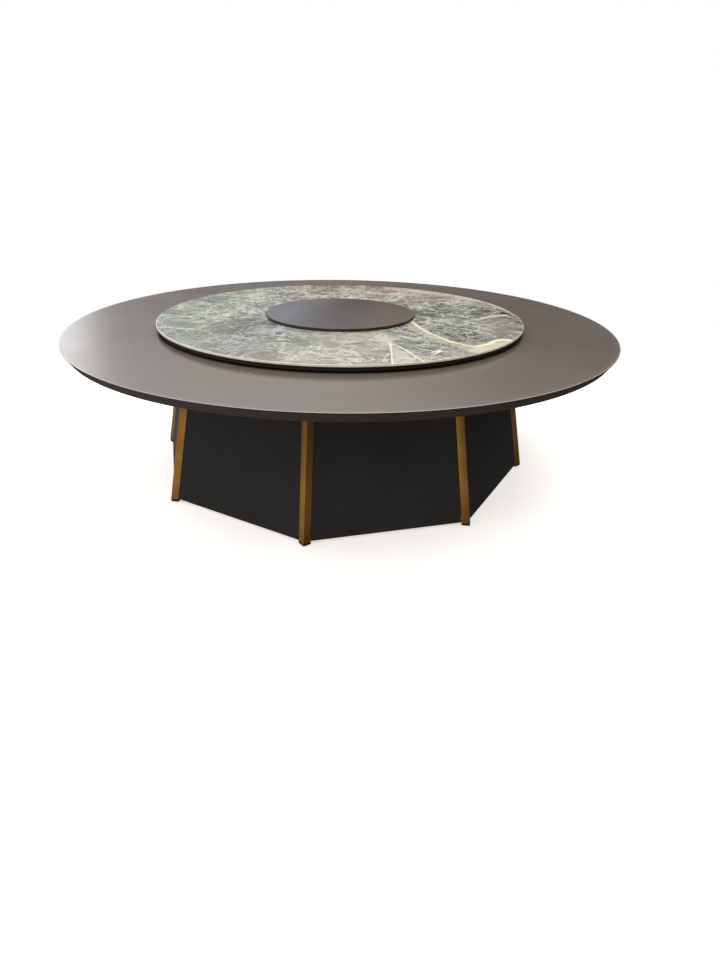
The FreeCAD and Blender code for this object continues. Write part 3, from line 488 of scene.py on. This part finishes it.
head_height, head_place, head_sides = 0.003, 0.7035, 24
shank_length, shank_place, shank_sides = 0.056, 0.733, 16
crown_share = 0.62
slot_width, slot_length, slot_depth = 0.0011, 0.0058, 0.0026
screws = geometry_tree("pan_head_screws")
screw_values = {
    inlet(screws, "Arms", "Int"): 8,
    inlet(screws, "Inner place", "Float"): -0.947,
    inlet(screws, "Outer place", "Float"): -1.130,
    inlet(screws, "Spread", "Float"): 0.012,
    inlet(screws, "Head radius", "Float"): 0.005,
    inlet(screws, "Shank radius", "Float"): 0.0025,
    inlet(screws, "Finish", "Material"): zinc,
}
given = screws.nodes.new("NodeGroupInput").outputs
head_inputs = {
    "Vertices": head_sides,
    "Radius Top": given["Head radius"],
    "Radius Bottom": times(screws, given["Head radius"], crown_share),
    "Depth": head_height,
}
head = put(screws, "GeometryNodeMeshCone", head_inputs).outputs["Mesh"]
recess = put(screws, "GeometryNodeMeshBoolean", operation="DIFFERENCE", solver="EXACT")
screws.links.new(head, recess.inputs["Mesh 1"])
for size in ((slot_width, slot_length, slot_depth), (slot_length, slot_width, slot_depth)):
    bar = put(screws, "GeometryNodeMeshCube", {"Size": size}).outputs["Mesh"]
    screws.links.new(bar, recess.inputs["Mesh 2"])
head = placed(screws, recess.outputs[0], (0, 0, head_place))
shank_inputs = {
    "Vertices": shank_sides,
    "Radius": given["Shank radius"],
    "Depth": shank_length,
}
shank = put(screws, "GeometryNodeMeshCylinder", shank_inputs).outputs[0]
screw = together(screws, head, placed(screws, shank, (0, 0, shank_place)))
four = []
for place_name in ("Inner place", "Outer place"):
    for side in (1, -1):
        aside = times(screws, given["Spread"], side)
        spot_inputs = {"X": aside, "Y": given[place_name]}
        spot = put(screws, "ShaderNodeCombineXYZ", spot_inputs).outputs[0]
        four.append(placed(screws, screw, spot))
finished(screws, round_the_axis(screws, together(screws, *four), given["Arms"]), given["Finish"])
arm_screws = grown("arm_screws", screws, screw_values)
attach(arm_screws, "table")
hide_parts("leaf_screws")


# The bearing: a spindle turned from steel bar stands on the deck, and the hub turns on it on two
# bronze bushes and a nylon washer. The rollers that steady the stone near its rim are nylon too.
def flattened(tree, place):
    """A place brought down to the height of the floor."""
    inputs = {0: place, 1: (1, 1, 0)}
    return put(tree, "ShaderNodeVectorMath", inputs, operation="MULTIPLY").outputs[0]


def smeared(name, colour, roughness, scale, darker, paler, metallic=0.0):
    """A finish whose tone drifts between two shades, as metal and plastic do when handled."""
    material, tree, surface, place = finish_named(name, colour, roughness, metallic)
    smear = grain(tree, place, scale, 4, 0.6)
    painted(tree, surface, blended(tree, ranged(tree, smear, 0.3, 0.7), darker, paler))
    return material, tree, surface, place


tool_pitch = 0.0004
steel, tree, surface, place = smeared(
    "turned_steel",
    (0.42, 0.42, 0.43),
    0.3,
    scale=40,
    darker=(0.33, 0.33, 0.34),
    paler=(0.5, 0.5, 0.5),
    metallic=1.0,
)
from_axis = length_of(tree, flattened(tree, place))
tool_marks = ranged(tree, sums(tree, "PINGPONG", from_axis, tool_pitch), 0, tool_pitch)
raised(tree, surface, tool_marks, 0.00004, 0.6)
give(steel, "spindle", "hub", "hub_gear", "drive_pinion", "output_shaft", "roller_axles")

bronze, tree, surface, place = smeared(
    "bush_bronze",
    (0.45, 0.28, 0.12),
    0.35,
    scale=50,
    darker=(0.36, 0.21, 0.09),
    paler=(0.52, 0.34, 0.16),
    metallic=1.0,
)
give(bronze, "hub_bushes")

pale_nylon, tree, surface, place = smeared(
    "pale_nylon",
    (0.72, 0.71, 0.67),
    0.45,
    scale=30,
    darker=(0.62, 0.61, 0.57),
    paler=(0.76, 0.75, 0.71),
)
raised(tree, surface, grain(tree, place, 700, 2), 0.00006, 0.4)
give(pale_nylon, "thrust_washer", *[f"support_roller_{n}" for n in range(1, 7)])


# The electric drive turns the hub through a pinion: a cast aluminium gearbox flat under the deck,
# a motor sprayed dark blue grey below it, and a moulded plastic control box on the base board.
cast_metal = stippled(
    "cast_aluminium",
    (0.4, 0.41, 0.42),
    0.55,
    specks=(160, 4, 0.6),
    matt=(0.45, 0.65),
    relief=(0.0004, 0.5),
    metallic=1.0,
)
give(cast_metal, "gearbox")

motor_paint = stippled(
    "motor_paint",
    (0.03, 0.035, 0.045),
    0.4,
    specks=(200, 3, 0.55),
    matt=(0.34, 0.48),
    relief=(0.00015, 0.5),
)
give(motor_paint, "motor")

box_plastic = stippled(
    "box_plastic",
    (0.05, 0.05, 0.052),
    0.5,
    specks=(600, 2, 0.55),
    matt=(0.42, 0.58),
    relief=(0.00012, 0.5),
)
give(box_plastic, "control_box")


# The top: four quarter leaves of board in a satin taupe lacquer, screwed to the arms from below.
# The lacquer is sprayed and lightly rubbed, so its gloss drifts a little. Its rim has a painted
# highlight, and its side below the lip a painted shadow line.
def taupe_lacquer(name, deep, pale, rim, rim_highlight_share, underside, cool_reflection=0.0, warm_reflection=0.0):
    """Lacquer on a round board, with a painted highlight at its rim and painted shade below its
    underside height.

    A painted reflection tints it bluish towards the left and brownish towards the right, by the
    shares given.
    """
    material, tree, surface, place = finish_named(name, pale, 0.3)
    drift = grain(tree, place, 1.7, 5, 0.6)
    fleck = grain(tree, place, 650, 2, 0.6)
    rubbed = grain(tree, place, 2.5, 4, 0.6)
    across = axis_of(tree, place, "X")
    from_axis = length_of(tree, flattened(tree, place))
    fleck_tone = [shade * 1.5 for shade in pale]
    highlight_tone = (0.36, 0.34, 0.335)
    # Painted highlight round the rim: a faint broad band and a brighter line at the very edge.
    rim_band_highlight = ranged(tree, from_axis, rim - 0.032, rim - 0.004, 0, 0.12 * rim_highlight_share)
    edge_line_highlight = ranged(tree, from_axis, rim - 0.0055, rim - 0.003, 0, rim_highlight_share)
    # Painted shade: nearly black below the underside height, as a shadow line under the lip.
    painted_shadow_line = ranged(tree, axis_of(tree, place, "Z"), underside + 0.0007, underside, 0, 1)
    tone = layered(
        tree,
        deep,
        (ranged(tree, drift, 0.3, 0.7), pale),
        (ranged(tree, fleck, 0.4, 0.8, 0, 0.1), fleck_tone),
        # Painted reflection: a bluish tint towards the left and a brownish one towards the right.
        (ranged(tree, across, 0.0, -0.33, 0, cool_reflection, smooth=True), (0.15, 0.15, 0.19)),
        (ranged(tree, across, 0.0, 0.36, 0, warm_reflection, smooth=True), (0.14, 0.1, 0.08)),
        (rim_band_highlight, highlight_tone),
        (edge_line_highlight, highlight_tone),
        (painted_shadow_line, (0.006, 0.005, 0.004)),
    )
    painted(tree, surface, tone, ranged(tree, rubbed, 0.3, 0.7, 0.2, 0.26))
    raised(tree, surface, grain(tree, place, 260, 2, 0.5), 0.00001, 0.5)
    return material


top_lacquer = taupe_lacquer(
    "taupe_lacquer",
    deep=(0.1, 0.086, 0.078),
    pale=(0.117, 0.101, 0.093),
    rim=1.4,
    rim_highlight_share=0.75,
    underside=0.7688,
)
give(top_lacquer, *[f"top_leaf_{n}" for n in range(1, 5)])


# Loose tongues close the four joints between the leaves. They are strips of board in the top's own
# lacquer, pressed in on edge and left a hair below the surface.
tongues = geometry_tree("joint_tongues")
tongue_values = {
    inlet(tongues, "Joints", "Int"): 4,
    inlet(tongues, "Size", "Vector"): (0.437, 0.00036, 0.016),
    inlet(tongues, "Place", "Vector"): (1.178, 0, 0.7618),
    inlet(tongues, "Finish", "Material"): top_lacquer,
}
given = tongues.nodes.new("NodeGroupInput").outputs
tongue = put(tongues, "GeometryNodeMeshCube", {"Size": given["Size"]}).outputs["Mesh"]
tongue = placed(tongues, tongue, given["Place"])
finished(tongues, round_the_axis(tongues, tongue, given["Joints"]), given["Finish"])
joint_tongues = grown("joint_tongues", tongues, tongue_values)
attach(joint_tongues, "table")


# Under the leaves' thin lip runs a deep edging in four bent lengths of solid wood. It is undercut,
# stained nearly black, and glued round the edge of the board.
edging, tree, surface, place = finish_named("dark_edging", (0.012, 0.009, 0.007), 0.5, specular=0.3)
around = grain(tree, place, 40, 5, 0.6, stretch=(1, 1, 9))
dark_wood, paler_wood = (0.015, 0.011, 0.0085), (0.028, 0.021, 0.016)
tone = blended(tree, ranged(tree, around, 0.35, 0.65), dark_wood, paler_wood)
painted(tree, surface, tone, ranged(tree, around, 0.3, 0.7, 0.38, 0.55))
raised(tree, surface, around, 0.0002, 0.4)
give(edging, *[f"edge_lipping_{n}" for n in range(1, 5)])


# The turntable's carrier is a round board, painted black and set back under the stone. It is
# screwed to the hub and runs on the rollers.
black_board = stippled(
    "black_board",
    (0.008, 0.007, 0.007),
    0.6,
    specks=(240, 3, 0.55),
    matt=(0.5, 0.7),
    relief=(0.0002, 0.4),
    specular=0.3,
)
give(black_board, "carrier_board")


# The stone: one round slab of green-grey marble, polished, with white wisps all through it and a
# straw-coloured vein that runs out from the disc to the front. It is glued to the carrier.
marble, tree, surface, place = finish_named("green_marble", (0.3, 0.32, 0.26), 0.08, specular=0.4)
flat = flattened(tree, place)
across = axis_of(tree, flat, "X")
along = axis_of(tree, flat, "Y")
from_axis = length_of(tree, flat)


def drifted(tree, place, scale, amount, detail=4.0):
    """Places pushed about by noise, so that nothing in the stone runs straight."""

    def vector(how, inputs):
        return put(tree, "ShaderNodeVectorMath", inputs, operation=how).outputs[0]

    noise = put(tree, "ShaderNodeTexNoise", {"Vector": place, "Scale": scale, "Detail": detail})
    centred = vector("SUBTRACT", {0: noise.outputs["Color"], 1: (0.5, 0.5, 0.5)})
    pushed = vector("SCALE", {0: centred, "Scale": amount})
    return vector("ADD", {0: place, 1: pushed})


def wisps(tree, place, scale, thin, wide, detail=3.0):
    """Thin lines where a noise crosses its middle."""
    noise = grain(tree, place, scale, detail, 0.55)
    off = sums(tree, "ABSOLUTE", sums(tree, "SUBTRACT", noise, 0.5))
    return ranged(tree, off, thin, wide, 1, 0, smooth=True)


def crackle(tree, place, scale, thin, wide):
    """Hair lines between the cells of a healed crackle."""
    inputs = {"Vector": place, "Scale": scale}
    cells = put(tree, "ShaderNodeTexVoronoi", inputs, feature="DISTANCE_TO_EDGE")
    return ranged(tree, cells.outputs["Distance"], thin, wide, 1, 0, smooth=True)


def part(place, from_here, to_here, least=0.0):
    """How far a place lies into one part of the slab, with a soft border."""
    return ranged(tree, place, from_here, to_here, least, 1, smooth=True)


slow = drifted(tree, flat, 1.9, 0.32)
middling = drifted(tree, slow, 7, 0.10)
fine = drifted(tree, middling, 24, 0.04)
swept_inputs = {"Vector": middling, "Rotation": (0, 0, -0.7), "Scale": (1, 2.4, 1)}
swept = put(tree, "ShaderNodeMapping", swept_inputs).outputs[0]
clouds = grain(tree, slow, 2.6, 8, 0.62)
streaks = grain(tree, swept, 4.5, 8, 0.68)
mottle = grain(tree, middling, 15, 8, 0.7)
grit = grain(tree, fine, 60, 5, 0.7)
busy = part(grain(tree, slow, 2.1, 3), 0.42, 0.56, 0.25)
dabs = ranged(tree, grain(tree, middling, 8, 6, 0.65), 0.54, 0.64, 0, 0.5)

wandering = sums(tree, "SUBTRACT", axis_of(tree, drifted(tree, flat, 2.6, 0.5), "X"), 0.06)
beside_axis = part(sums(tree, "ABSOLUTE", wandering), 0.42, 0.06)
left_part = part(across, -0.35, -0.65)
painted_shade_right = part(across, 0.35, 0.7)
front_part = times(tree, part(along, -0.3, -0.75), beside_axis)
back_part = times(tree, part(along, 0.3, 0.75), part(across, -0.2, 0.3, 0.5))
ground = layered(
    tree,
    (0.112, 0.126, 0.117),
    (ranged(tree, clouds, 0.38, 0.62), (0.2, 0.214, 0.2)),
    (ranged(tree, streaks, 0.47, 0.64, 0, 0.8), (0.29, 0.31, 0.28)),
    (times(tree, ranged(tree, mottle, 0.5, 0.62, 0, 0.7), busy), (0.44, 0.46, 0.41)),
    (ranged(tree, mottle, 0.46, 0.36, 0, 0.7), (0.06, 0.07, 0.06)),
    (times(tree, ranged(tree, grit, 0.5, 0.66, 0, 0.6), busy), (0.46, 0.48, 0.43)),
    (ranged(tree, grit, 0.45, 0.34, 0, 0.5), (0.05, 0.06, 0.05)),
    (times(tree, left_part, 0.42), (0.4, 0.48, 0.44)),
    (times(tree, front_part, 0.4), (0.42, 0.43, 0.27)),
    (times(tree, back_part, 0.36), (0.62, 0.52, 0.47)),
    (dabs, (0.5, 0.53, 0.4)),
)

patches = part(grain(tree, slow, 3.2, 3), 0.44, 0.58, 0.1)
other_patches = part(grain(tree, middling, 5, 3), 0.45, 0.58, 0.06)
threads = strongest(
    tree,
    times(tree, wisps(tree, swept, 2.6, 0.002, 0.014, 5), patches),
    times(tree, wisps(tree, middling, 6.5, 0.004, 0.022, 4), other_patches),
    times(tree, wisps(tree, fine, 13, 0.006, 0.03, 4), ranged(tree, streaks, 0.42, 0.58)),
    times(tree, crackle(tree, middling, 6, 0.004, 0.03), patches),
    times(tree, times(tree, crackle(tree, fine, 15, 0.01, 0.07), other_patches), 0.8),
)
stone = blended(tree, times(tree, threads, 0.78), ground, (0.68, 0.69, 0.65))
stone = put(tree, "ShaderNodeGamma", {"Color": stone, "Gamma": 1.4}).outputs[0]
# Painted light and shade: after an overall brightening, the stone is lightened towards the back and
# darkened towards the front, the right and the front left.
painted_light_back = part(along, 0.1, 0.6)
painted_shade_front = part(along, -0.1, -0.6)
stone = layered(
    tree,
    stone,
    (1.0, (1.32, 1.32, 1.37)),
    (painted_light_back, (1.27, 1.25, 1.24)),
    (painted_shade_front, (0.76, 0.76, 0.76)),
    (times(tree, painted_shade_right, 0.25), (0.72, 0.72, 0.72)),
    (times(tree, painted_shade_front, part(across, 0.0, -0.45)), (0.8, 0.81, 0.8)),
    how="MULTIPLY",
)


def vein_run_group():
    """Node group: how strongly a straight run of vein shows at a place, 1 on it, 0 beside it."""
    group = bpy.data.node_groups.new("vein_run", "ShaderNodeTree")
    for name in ("Place", "Start", "End"):
        group.interface.new_socket(name, in_out="INPUT", socket_type="NodeSocketVector")
    for name in ("Start half width", "End half width"):
        group.interface.new_socket(name, in_out="INPUT", socket_type="NodeSocketFloat")
    group.interface.new_socket("Strength", in_out="OUTPUT", socket_type="NodeSocketFloat")
    given = group.nodes.new("NodeGroupInput").outputs

    def vector(how, inputs, result=0):
        return put(group, "ShaderNodeVectorMath", inputs, operation=how).outputs[result]

    run = vector("SUBTRACT", {0: given["End"], 1: given["Start"]})
    offset = vector("SUBTRACT", {0: given["Place"], 1: given["Start"]})
    forwards = vector("DOT_PRODUCT", {0: offset, 1: run}, "Value")
    length = vector("DOT_PRODUCT", {0: run, 1: run}, "Value")
    share = ranged(group, sums(group, "DIVIDE", forwards, length), 0, 1)
    nearest = vector("SCALE", {0: run, "Scale": share})
    distance = vector("DISTANCE", {0: offset, 1: nearest}, "Value")
    widths = given["Start half width"], given["End half width"]
    half_width = ranged(group, share, 0, 1, *widths)
    ratio = sums(group, "DIVIDE", distance, half_width)
    strength = ranged(group, ratio, 0.45, 1.3, 1, 0, smooth=True)
    group.links.new(strength, group.nodes.new("NodeGroupOutput").inputs["Strength"])
    return group


vein_run = vein_run_group()


def vein(tree, place, points):
    """Joins runs of vein through points given as (x, y, half width)."""
    runs = []
    for (x0, y0, w0), (x1, y1, w1) in zip(points, points[1:]):
        inputs = {
            "Place": place,
            "Start": (x0, y0, 0),
            "End": (x1, y1, 0),
            "Start half width": w0,
            "End half width": w1,
        }
        runs.append(put(tree, "ShaderNodeGroup", inputs, node_tree=vein_run).outputs["Strength"])
    return strongest(tree, *runs)


wavy = drifted(tree, drifted(tree, flat, 6, 0.03), 30, 0.007)
jagged = drifted(tree, wavy, 14, 0.05)
steady = drifted(tree, flat, 8, 0.014)
straw_line = [
    (0.355, -0.02, 0.022),
    (0.39, -0.11, 0.012),
    (0.44, -0.235, 0.009),
    (0.49, -0.34, 0.008),
    (0.54, -0.42, 0.009),
    (0.59, -0.485, 0.008),
    (0.64, -0.525, 0.008),
    (0.69, -0.545, 0.01),
    (0.73, -0.505, 0.012),
    (0.77, -0.44, 0.016),
    (0.805, -0.4, 0.018),
    (0.845, -0.395, 0.018),
    (0.885, -0.42, 0.016),
]
haze_line = [(x - 0.022, y - 0.012, 0.035) for x, y, half_width in straw_line[1:8:2]]
front_lines = (
    [(0.308, -0.555, 0.007), (0.322, -0.667, 0.005), (0.334, -0.766, 0.004), (0.35, -0.93, 0.004)],
    [(0.308, -0.565, 0.007), (0.35, -0.6, 0.006), (0.388, -0.673, 0.005), (0.47, -0.83, 0.005)],
)
knot_lines = (
    [(0.866, 0.2, 0.02), (0.87, 0.236, 0.018), (0.9, 0.2, 0.02)],
    [(0.896, 0.165, 0.008), (0.925, 0.125, 0.011)],
)
strand_lines = (
    [(0.5, -0.06, 0.005), (0.58, -0.03, 0.006), (0.67, -0.06, 0.006), (0.76, -0.14, 0.004)],
    [(0.54, -0.13, 0.004), (0.63, -0.1, 0.006), (0.72, -0.15, 0.006), (0.79, -0.24, 0.004)],
    [(0.55, -0.22, 0.004), (0.65, -0.2, 0.006), (0.73, -0.26, 0.006), (0.78, -0.34, 0.004)],
    [(0.6, -0.3, 0.004), (0.67, -0.28, 0.005), (0.73, -0.35, 0.004)],
    [(0.34, -0.41, 0.004), (0.4, -0.44, 0.007), (0.47, -0.42, 0.004)],
    [(0.36, -0.36, 0.004), (0.42, -0.4, 0.006), (0.5, -0.4, 0.004)],
    [(0.38, -0.5, 0.004), (0.43, -0.47, 0.006), (0.46, -0.38, 0.004)],
    [(0.44, -0.62, 0.004), (0.51, -0.66, 0.007), (0.57, -0.64, 0.004)],
    [(0.46, -0.7, 0.004), (0.51, -0.66, 0.007), (0.55, -0.6, 0.004)],
    [(0.49, -0.73, 0.004), (0.52, -0.66, 0.006), (0.53, -0.6, 0.004)],
    [(-0.82, -0.44, 0.004), (-0.74, -0.46, 0.008), (-0.63, -0.48, 0.005)],
    [(-0.8, -0.2, 0.004), (-0.7, -0.17, 0.007), (-0.58, -0.2, 0.005)],
)
cream_bank = [(0.68, -0.62, 0.03), (0.75, -0.54, 0.06), (0.85, -0.47, 0.065)]
pink_column = [(0.262, -0.36, 0.022), (0.275, -0.47, 0.036), (0.3, -0.58, 0.022)]
between_veins = [(0.335, -0.64, 0.015), (0.375, -0.78, 0.045), (0.4, -0.9, 0.06)]
pale_back = [(0.2, 0.88, 0.05), (0.42, 0.8, 0.06), (0.6, 0.68, 0.05), (0.76, 0.54, 0.03)]
pale_halo = [(0.83, 0.3, 0.02), (0.885, 0.21, 0.035), (0.925, 0.1, 0.025)]
before_disc = [(-0.06, -0.44, 0.13), (0.14, -0.42, 0.13), (0.3, -0.42, 0.1)]
smooth_right = [(0.8, 0.05, 0.1), (0.84, -0.12, 0.12), (0.8, -0.26, 0.08)]
right_thread = [(0.7, 0.0, 0.01), (0.76, 0.072, 0.01), (0.81, 0.13, 0.012), (0.87, 0.165, 0.016)]
for course, lines, strength, colour in (
    (jagged, [haze_line], 0.4, (0.62, 0.64, 0.54)),
    (jagged, [cream_bank], 0.65, (0.74, 0.72, 0.53)),
    (jagged, [pink_column], 0.26, (0.78, 0.69, 0.64)),
    (jagged, [between_veins], 0.4, (0.58, 0.64, 0.5)),
    (jagged, [pale_back], 0.42, (0.86, 0.78, 0.7)),
    (jagged, [pale_halo], 0.4, (0.66, 0.66, 0.6)),
    (jagged, [before_disc], 0.26, (0.6, 0.63, 0.52)),
    (jagged, [smooth_right], 0.45, (0.33, 0.315, 0.28)),
    (jagged, strand_lines, 0.8, (0.8, 0.83, 0.8)),
    (jagged, [right_thread], 0.85, (0.84, 0.85, 0.78)),
    (steady, front_lines, 0.68, (0.84, 0.85, 0.7)),
    (wavy, [straw_line], 0.92, (0.85, 0.82, 0.6)),
    (steady, knot_lines, 0.92, (0.02, 0.017, 0.014)),
):
    shown = strongest(tree, *[vein(tree, course, line) for line in lines])
    stone = blended(tree, times(tree, shown, strength), stone, colour)
# Painted highlight: a pale band just inside the rim towards the back right.
at_back_right = times(tree, ranged(tree, along, 0.1, 0.3), ranged(tree, across, 0.35, 0.6))
painted_rim_highlight = times(tree, ranged(tree, from_axis, 0.915, 0.932, 0, 0.6), at_back_right)
# Painted highlight: a pale line along the slab's eased edge.
painted_edge_highlight = ranged(tree, from_axis, 0.9468, 0.948, 0, 0.7)
stone = layered(tree, stone, (painted_rim_highlight, (0.84, 0.77, 0.72)), (painted_edge_highlight, (0.84, 0.83, 0.76)))
painted(tree, surface, stone, ranged(tree, mottle, 0.3, 0.7, 0.12, 0.2))


def turned(name, finish, outline, steps=256, seam=0.00001, sharp_angle=35):
    """Turns an outline of (radius, height) about the table's axis into a closed piece."""
    shell = bmesh.new()
    ring = [shell.verts.new((radius, 0, height)) for radius, height in outline]
    edges = [shell.edges.new(pair) for pair in zip(ring, ring[1:])]
    bmesh.ops.spin(
        shell,
        geom=ring + edges,
        cent=(0, 0, 0),
        axis=(0, 0, 1),
        angle=2 * math.pi,
        steps=steps,
    )
    bmesh.ops.remove_doubles(shell, verts=shell.verts, dist=seam)
    bmesh.ops.recalc_face_normals(shell, faces=shell.faces)
    mesh = bpy.data.meshes.new(name)
    shell.to_mesh(mesh)
    shell.free()
    mesh.materials.append(finish)
    mesh.shade_smooth()
    mesh.set_sharp_from_angle(angle=math.radians(sharp_angle))
    piece = bpy.data.objects.new(name, mesh)
    bpy.context.scene.collection.objects.link(piece)
    return piece


def quarter_round(easing, radius, height, first, last, steps=6):
    """Points along a rounded edge about a (radius, height), between two directions in degrees."""
    turns = [math.radians(first + (last - first) * n / steps) for n in range(steps + 1)]
    return [(radius + easing * math.cos(t), height + easing * math.sin(t)) for t in turns]


slab_radius, slab_top, slab_underside = 0.95, 0.806, 0.796
seat_radius, seat_height = 0.3925, 0.805
top_easing, low_easing = 0.0022, 0.0012
slab_outline = [
    (0, seat_height),
    (seat_radius, seat_height),
    (seat_radius, slab_top),
    *quarter_round(top_easing, slab_radius - top_easing, slab_top - top_easing, 90, 0),
    *quarter_round(low_easing, slab_radius - low_easing, slab_underside + low_easing, 0, -90),
    (0, slab_underside),
]
polished_slab = turned("polished_slab", marble, slab_outline)
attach(polished_slab, "turntable")
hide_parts("stone_slab")


# The disc in the middle is a round board let 1 mm into the stone. It has the top's lacquer, sprayed
# darker, under a painted reflection that tints it bluish on the left and brownish on the right, and
# a dark wooden band glued round its edge.
disc_lacquer = taupe_lacquer(
    "disc_lacquer",
    deep=(0.05, 0.042, 0.042),
    pale=(0.064, 0.054, 0.054),
    rim=0.3915,
    rim_highlight_share=0.1,
    underside=0.8,
    cool_reflection=0.75,
    warm_reflection=0.5,
)
give(disc_lacquer, "centre_disc")
give(edging, "disc_edge_band")
